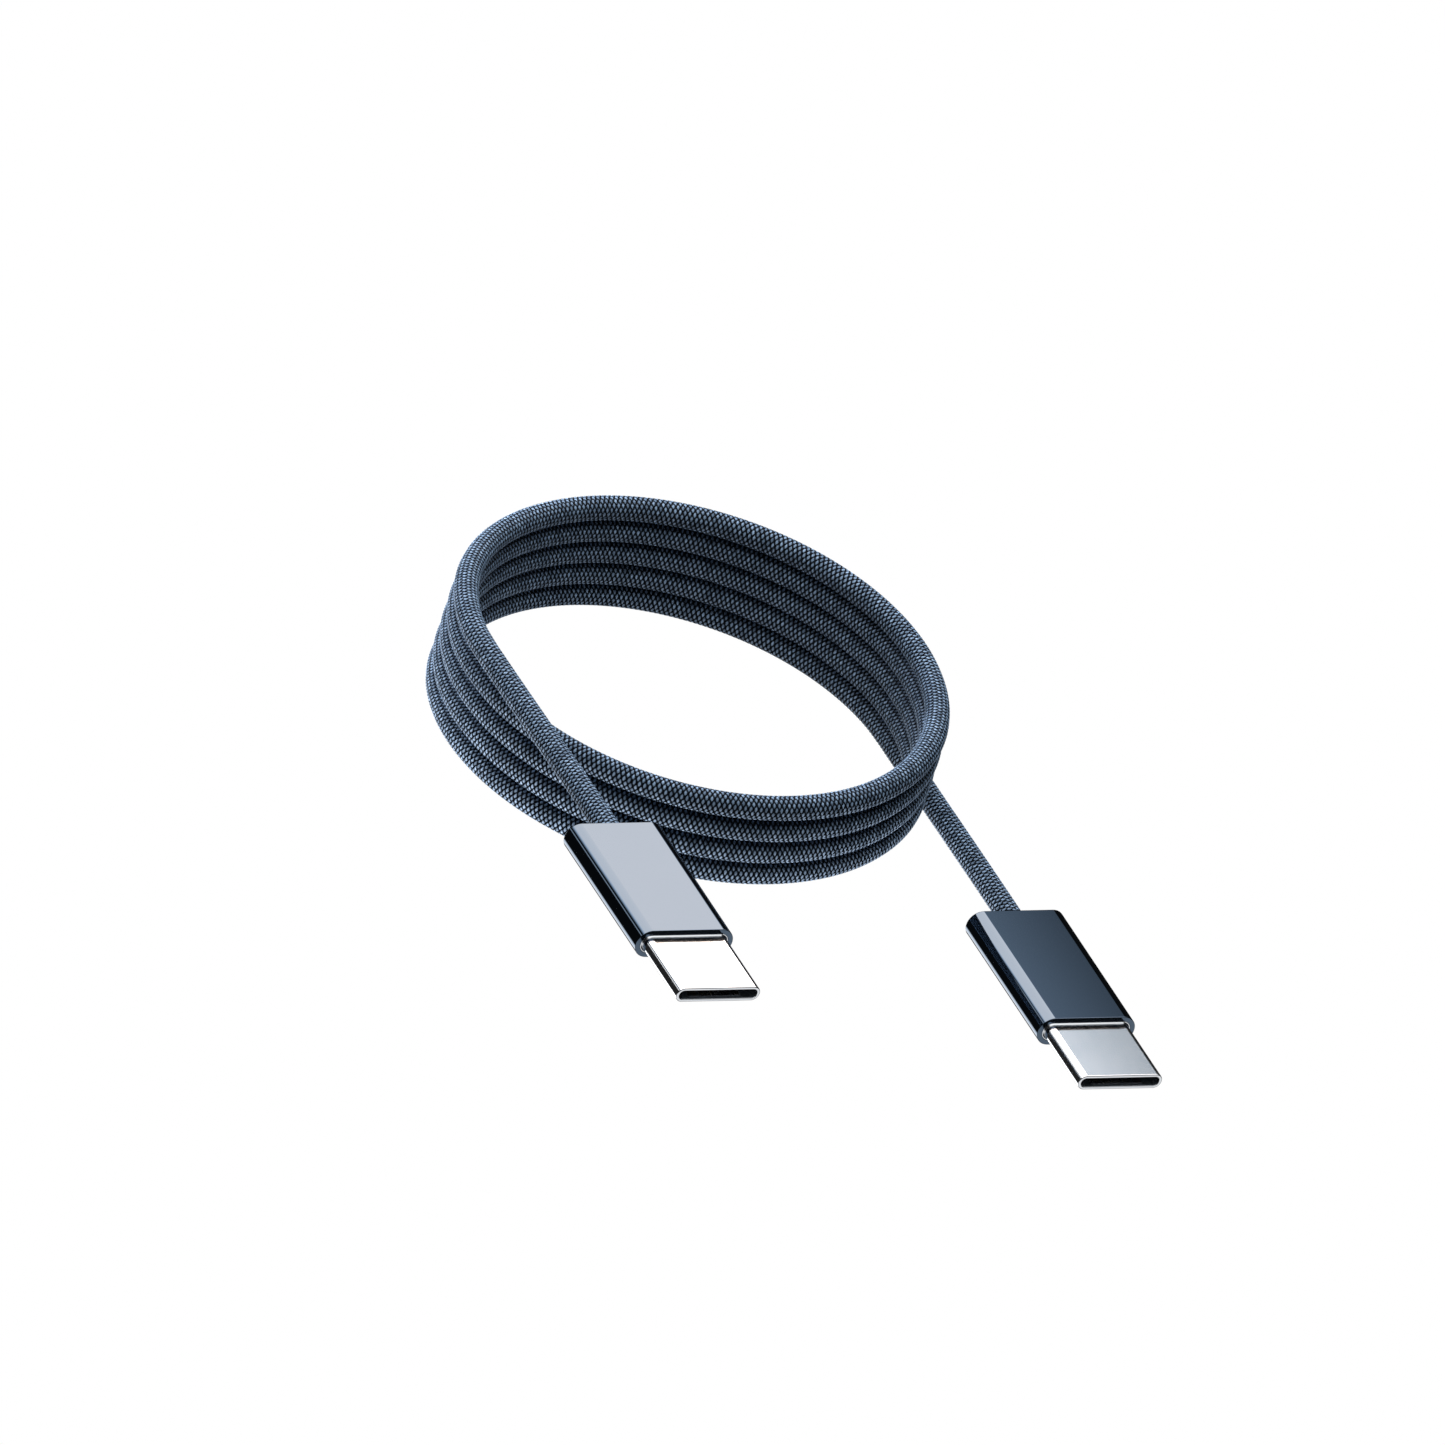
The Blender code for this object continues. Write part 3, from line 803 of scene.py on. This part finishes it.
def studio_world(stage):
    """Faint even light for matt surfaces, a dark room with bright bands for gloss."""
    world = bpy.data.worlds.new("studio")
    bpy.context.scene.world = world
    world.use_nodes = True
    tree = world.node_tree
    tree.nodes.clear()
    rays = add_node(tree, "ShaderNodeLightPath")
    way = add_node(tree, "ShaderNodeTexCoord").outputs["Generated"]
    split = add_node(tree, "ShaderNodeSeparateXYZ")
    join(tree, way, split.inputs[0])
    turn = calc(tree, "ARCTAN2", split.outputs[2], split.outputs[0])

    def strip(start, full, end_full, end, strength):
        up = remap(tree, turn, math.radians(start), math.radians(full), smooth=True)
        down = remap(
            tree, turn, math.radians(end_full), math.radians(end), 1.0, 0.0, True
        )
        return calc(tree, "MULTIPLY", calc(tree, "MULTIPLY", up, down), strength)

    behind = remap(tree, split.outputs[1], 0.2, 0.5, smooth=True)
    mirrored = calc(tree, "ADD", strip(*LOW_STRIP), strip(*SIDE_STRIP))
    mirrored = calc(tree, "MULTIPLY", mirrored, behind)
    ahead = remap(tree, split.outputs[1], -0.25, -0.55, smooth=True)
    below = remap(tree, split.outputs[2], -0.15, -0.40, 0.0, AHEAD_LIGHT, smooth=True)
    overhead = remap(tree, split.outputs[2], 0.60, 0.72, *OVERHEAD_LIGHT, smooth=True)
    mirrored = calc(tree, "ADD", mirrored, calc(tree, "MULTIPLY", ahead, below))
    mirrored = calc(tree, "ADD", mirrored, overhead)
    world.cycles.sampling_method = "NONE"
    plain = calc(
        tree,
        "MULTIPLY_ADD",
        rays.outputs["Is Camera Ray"],
        1.0 - stage.room_light,
        stage.room_light,
    )
    seen = calc(tree, "SUBTRACT", 1.0, rays.outputs["Is Glossy Ray"])
    plain = calc(tree, "MULTIPLY", seen, plain)
    total = calc(
        tree, "MULTIPLY_ADD", rays.outputs["Is Glossy Ray"], mirrored, plain
    )
    back = add_node(tree, "ShaderNodeBackground")
    back.inputs["Color"].default_value = (1.0, 1.0, 1.0, 1.0)
    join(tree, total, back.inputs["Strength"])
    out = add_node(tree, "ShaderNodeOutputWorld")
    join(tree, back.outputs[0], out.inputs["Surface"])


def stage_plane(name, size, place, material, unseen_by):
    """A glowing rectangle of the stage, hidden from the kinds of ray named."""
    bm = bmesh.new()
    bmesh.ops.create_grid(
        bm,
        x_segments=1,
        y_segments=1,
        size=0.5,
        matrix=place @ Matrix.Diagonal((*size, 1, 1)),
    )
    made = piece(name, bm, material)
    made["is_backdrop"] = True
    for kind in unseen_by:
        setattr(made, f"visible_{kind}", False)
    return made


def glowing(name, colour, strength):
    made = bpy.data.materials.new(name)
    made.use_nodes = True
    tree = made.node_tree
    tree.nodes.clear()
    glow = add_node(tree, "ShaderNodeEmission")
    glow.inputs["Color"].default_value = (*colour, 1.0)
    glow.inputs["Strength"].default_value = strength
    out = add_node(tree, "ShaderNodeOutputMaterial")
    join(tree, glow.outputs[0], out.inputs["Surface"])
    return made, tree, glow


def lit_floor(stage):
    """White to look at. The light that it gives back is strongest behind the coil."""
    made, tree, glow = glowing("lit_floor", (1.0, 1.0, 1.0), 1.0)
    place = add_node(tree, "ShaderNodeTexCoord").outputs["Object"]
    split = add_node(tree, "ShaderNodeSeparateXYZ")
    join(tree, place, split.inputs[0])
    behind = calc(tree, "SUBTRACT", split.outputs[1], COIL_Y)
    reach = add_node(tree, "ShaderNodeVectorMath", operation="DISTANCE")
    join(tree, place, reach.inputs[0])
    reach.inputs[1].default_value = (0.0, COIL_Y, 0.0)
    reach = reach.outputs["Value"]
    near = remap(tree, reach, *ROUND_COIL_FADE, 1.0, 0.0, True)
    inside = remap(tree, reach, *INSIDE_COIL_FADE, INSIDE_COIL_LIGHT, 1.0, True)
    near = calc(tree, "MULTIPLY", near, inside)
    left = remap(tree, split.outputs[0], *LEFT_FADE, 1.0, LEFT_LIGHT, True)
    right = remap(tree, split.outputs[0], *RIGHT_FADE, 1.0, RIGHT_LIGHT, True)
    near = calc(tree, "MULTIPLY", near, calc(tree, "MULTIPLY", left, right))
    given = calc(tree, "MULTIPLY", near, stage.floor_light)
    far = calc(tree, "GREATER_THAN", behind, PATCH_START)
    close = calc(tree, "LESS_THAN", behind, PATCH_END)
    aside = calc(tree, "ABSOLUTE", split.outputs[0])
    within = calc(tree, "LESS_THAN", aside, PATCH_HALF_WIDTH)
    patch = calc(tree, "MULTIPLY", calc(tree, "MULTIPLY", far, close), within)
    given = calc(tree, "MULTIPLY_ADD", patch, PATCH_LIGHT * stage.panel_light, given)
    rays = add_node(tree, "ShaderNodeLightPath")
    seen = rays.outputs["Is Camera Ray"]
    level = calc(tree, "MULTIPLY_ADD", seen, calc(tree, "SUBTRACT", 1.0, given), given)
    join(tree, level, glow.inputs["Strength"])
    return made


def soft_panel(name, stage):
    azimuth, elevation, width, height, strength, colour = PANELS[name]
    turn = Matrix.Rotation(math.radians(azimuth - 90), 4, "Z") @ Matrix.Rotation(
        math.radians(elevation - 90), 4, "X"
    )
    size = [
        2 * PANEL_DISTANCE * math.tan(math.radians(spread) / 2)
        for spread in (width, height)
    ]
    place = (
        Matrix.Translation((0, COIL_Y, 0))
        @ turn
        @ Matrix.Translation((0, 0, PANEL_DISTANCE))
    )
    glow = glowing(f"{name}_glow", colour, strength * stage.panel_light)[0]
    stage_plane(name, size, place, glow, ("camera", "glossy", "shadow"))


def softbox_cloth(stage):
    """A bright warm core with a dimmer, cooler spill at its left and right ends."""
    made, tree, glow = glowing("softbox_cloth", (1.0, 1.0, 1.0), 1.0)
    place = add_node(tree, "ShaderNodeTexCoord").outputs["Object"]
    split = add_node(tree, "ShaderNodeSeparateXYZ")
    join(tree, place, split.inputs[0])
    across = split.outputs[0]
    right = remap(tree, across, *CORE_RIGHT_FADE, 1.0, 0.0, True)
    left = remap(tree, across, *CORE_LEFT_FADE, 0.0, 1.0, True)
    core = calc(tree, "MULTIPLY", right, left)
    right = remap(tree, across, *RIGHT_SPILL)
    left = remap(tree, across, *LEFT_SPILL)
    spill = calc(tree, "MULTIPLY", right, left)
    warm = (*stage.softbox_colour, 1.0)
    colour = blend_colour(tree, core, (*SPILL_COLOUR, 1.0), warm)
    join(tree, colour, glow.inputs["Color"])
    level = calc(tree, "MULTIPLY_ADD", core, stage.softbox_light, spill)
    join(tree, level, glow.inputs["Strength"])
    return made


def parallel_camera(stage):
    camera = bpy.data.cameras.new("camera")
    camera.type = "ORTHO"
    camera.ortho_scale = stage.view_width
    camera.clip_start = CLIP_START
    camera.clip_end = 2 * stage.distance
    camera.dof.use_dof = False
    holder = bpy.data.objects.new("camera", camera)
    turn = (
        Matrix.Rotation(stage.azimuth, 4, "Z")
        @ Matrix.Rotation(math.pi / 2 - stage.elevation, 4, "X")
        @ Matrix.Rotation(stage.roll, 4, "Z")
    )
    low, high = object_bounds()
    aim = Matrix.Translation((low + high) / 2 + AIM_OFFSET)
    holder.matrix_world = aim @ turn @ Matrix.Translation((0, 0, stage.distance))
    return holder


class BuildStage(bpy.types.Operator):
    """Makes the white floor, the soft light and the camera"""

    bl_idname = "cable.build_stage"
    bl_label = "Build stage"

    def execute(self, context):
        stage = context.scene.cable_stage
        context.scene.view_settings.view_transform = "Standard"
        studio_world(stage)
        stage_plane(
            "floor",
            (FLOOR_SIZE, FLOOR_SIZE),
            Matrix.Identity(4),
            lit_floor(stage),
            ("glossy", "shadow"),
        )
        stage_plane(
            "softbox",
            SOFTBOX_SIZE,
            Matrix.Translation(SOFTBOX_MIDDLE),
            softbox_cloth(stage),
            ("camera", "diffuse", "shadow"),
        )
        for name in PANELS:
            soft_panel(name, stage)
        holder = parallel_camera(stage)
        context.scene.collection.objects.link(holder)
        context.scene.camera = holder
        return {"FINISHED"}


class BraidCord(bpy.types.Operator):
    """Winds the braided cord from the left plug, round the coil, to the right plug"""

    bl_idname = "cable.braid_cord"
    bl_label = "Braid cord"

    def execute(self, context):
        cord = context.scene.cable_cord
        route = cord_route(cord)
        bm, length = braided_tube(cord, route)
        made = piece("braided_cord", bm, braid_material(cord), sharp=80.0)
        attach(made, "cable")
        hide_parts("cord_coil", "cord_tail_left", "cord_tail_right")
        return {"FINISHED"}


class FormCasings(bpy.types.Operator):
    """Forms the polished dark casing of each plug"""

    bl_idname = "cable.form_casings"
    bl_label = "Form casings"

    def execute(self, context):
        plug = context.scene.cable_plug
        cord = context.scene.cable_cord
        finish = hard_material(
            "dark_casing_metal",
            plug.casing_colour,
            metallic=1.0,
            roughness=plug.casing_roughness,
            marks=0.25,
            mottle=0.12,
            depth=0.0004 * MM,
        )
        for side in SIDES:
            middle, flat, radius, front, rear = oval_of(f"{side}_casing")
            lip = radius - CASING_LIP
            inner = radius - CASING_WALL
            cavity_end = rear - CASING_REAR_WALL
            hole = cord.diameter / 2 + CORD_GAP
            rings = (
                (0.0, hole, cavity_end),
                (0.0, hole, rear),
                (flat, radius, rear),
                (flat, radius, front),
                (flat, lip, front),
                (flat, lip, front + CASING_LIP_DEPTH),
                (flat, inner, front + CASING_LIP_DEPTH),
                (flat, inner, cavity_end),
            )
            rounded = (
                (2, CASING_REAR_RADIUS),
                (3, CASING_RIM_RADIUS),
                (4, CASING_RIM_RADIUS / 2),
            )
            bm = flat_oval_loft(rings, rounded)
            node = f"{side}_casing"
            place_plug_piece(
                f"{node}_body", bm, middle, finish, node
            )
        return {"FINISHED"}


class FormShells(bpy.types.Operator):
    """Draws the bright connector shell and the trim ring round it at each plug"""

    bl_idname = "cable.form_shells"
    bl_label = "Form shells"

    def execute(self, context):
        plug = context.scene.cable_plug
        finish = hard_material(
            "bright_shell_plating",
            plug.shell_colour,
            metallic=1.0,
            roughness=plug.shell_roughness,
            marks=0.3,
            mottle=0.06,
            depth=0.0004 * MM,
        )
        lining = hard_material(
            "satin_shell_lining",
            (0.30, 0.34, 0.38),
            metallic=0.55,
            roughness=0.42,
            marks=0.3,
            mottle=0.2,
            depth=0.001 * MM,
        )
        for side in SIDES:
            node = f"{side}_connector_shell"
            middle, flat, radius, front, rear = oval_of(node)
            bore = radius - SHELL_WALL
            rings = (
                (flat, bore, rear),
                (flat, radius, rear),
                (flat, radius, front),
                (flat, bore, front),
            )
            rounded = ((2, SHELL_LIP), (3, SHELL_LIP * 0.6))
            bm = flat_oval_loft(rings, rounded)
            for face in bm.faces:
                spot = face.calc_center_median()
                reach = max(abs(spot.x) - flat, 0.0)
                if math.hypot(reach, spot.z) < bore + RING_GAP / 3 and spot.y < rear:
                    face.material_index = int(spot.y > front + SHELL_LIP)
            made = place_plug_piece(
                f"{node}_drawn", bm, middle, finish, node
            )
            made.data.materials.append(lining)
            outside = radius + RING_GAP
            node = f"{side}_trim_ring"
            middle, flat, radius, front, rear = oval_of(node)
            rings = (
                (flat, outside, rear),
                (flat, radius, rear),
                (flat, radius, front + RING_SLOPE),
                (flat, outside + RING_SLOPE, front + RING_SLOPE),
                (flat, outside, front),
            )
            bm = flat_oval_loft(rings)
            place_plug_piece(f"{node}_turned", bm, middle, finish, node)
        return {"FINISHED"}


# Finish of each kind of inner part: colour, metallic, roughness, marks, mottle and
# depth of grain in mm
INNER_FINISHES = {
    "collar_plastic": ((0.012, 0.013, 0.015), 0.0, 0.45, 0.2, 0.4, 0.004),
    "housing_plastic": ((0.016, 0.017, 0.019), 0.0, 0.50, 0.2, 0.4, 0.004),
    "spring_steel": ((0.60, 0.60, 0.62), 1.0, 0.28, 0.5, 0.2, 0.001),
    "contact_gold": ((0.83, 0.60, 0.26), 1.0, 0.24, 0.5, 0.2, 0.001),
    "board_laminate": ((0.02, 0.16, 0.07), 0.0, 0.42, 0.3, 0.5, 0.002),
    "chip_resin": ((0.018, 0.018, 0.020), 0.0, 0.48, 0.3, 0.4, 0.003),
    "shield_steel": ((0.55, 0.56, 0.58), 1.0, 0.34, 0.6, 0.3, 0.001),
    "jacket_rubber": ((0.045, 0.046, 0.050), 0.0, 0.62, 0.2, 0.4, 0.006),
    "crimp_brass": ((0.70, 0.52, 0.22), 1.0, 0.34, 0.5, 0.3, 0.001),
    "wire_red": ((0.50, 0.03, 0.03), 0.0, 0.42, 0.2, 0.3, 0.003),
    "wire_black": ((0.02, 0.02, 0.02), 0.0, 0.42, 0.2, 0.3, 0.003),
}


class FinishInnerParts(bpy.types.Operator):
    """Gives the parts inside each plug their finishes"""

    bl_idname = "cable.finish_inner_parts"
    bl_label = "Finish inner parts"

    def execute(self, context):
        finishes = {}
        for slot, values in INNER_FINISHES.items():
            colour, metallic, roughness, marks, mottle, depth = values
            finishes[slot] = hard_material(
                slot, colour, metallic, roughness, marks, mottle, depth * MM
            )
        for row in frame["record"]["subparts"]:
            finish = finishes.get(row["material_slot"])
            if finish is None:
                continue
            mesh = frame["nodes"][row["node"]].data
            mesh.materials.clear()
            mesh.materials.append(finish)
        return {"FINISHED"}


class CablePanel(bpy.types.Panel):
    """Builds the cable a step at a time"""

    bl_idname = "VIEW3D_PT_cable"
    bl_label = "Charging Cable"
    bl_space_type = "VIEW_3D"
    bl_region_type = "UI"
    bl_category = "Cable"

    def draw(self, context):
        layout = self.layout
        for name in ("cable_stage", "cable_cord", "cable_plug"):
            settings = getattr(context.scene, name)
            box = layout.box()
            for label in settings.bl_rna.properties.keys():
                if label not in ("rna_type", "name"):
                    box.prop(settings, label)
        for operator in OPERATORS:
            layout.operator(operator.bl_idname)


SETTINGS = {
    "cable_cord": CordSettings,
    "cable_plug": PlugSettings,
    "cable_stage": StageSettings,
}
OPERATORS = (BuildStage, BraidCord, FormCasings, FormShells, FinishInnerParts)
CLASSES = (*SETTINGS.values(), *OPERATORS, CablePanel)


def register():
    for kind in CLASSES:
        bpy.utils.register_class(kind)
    for name, kind in SETTINGS.items():
        setattr(bpy.types.Scene, name, bpy.props.PointerProperty(type=kind))


def unregister():
    for name in SETTINGS:
        delattr(bpy.types.Scene, name)
    for kind in reversed(CLASSES):
        bpy.utils.unregister_class(kind)


def main():
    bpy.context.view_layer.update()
    register()
    grain_group()
    bpy.ops.cable.build_stage()
    bpy.ops.cable.braid_cord()
    bpy.ops.cable.form_casings()
    bpy.ops.cable.form_shells()
    bpy.ops.cable.finish_inner_parts()


if __name__ == "__main__":
    main()
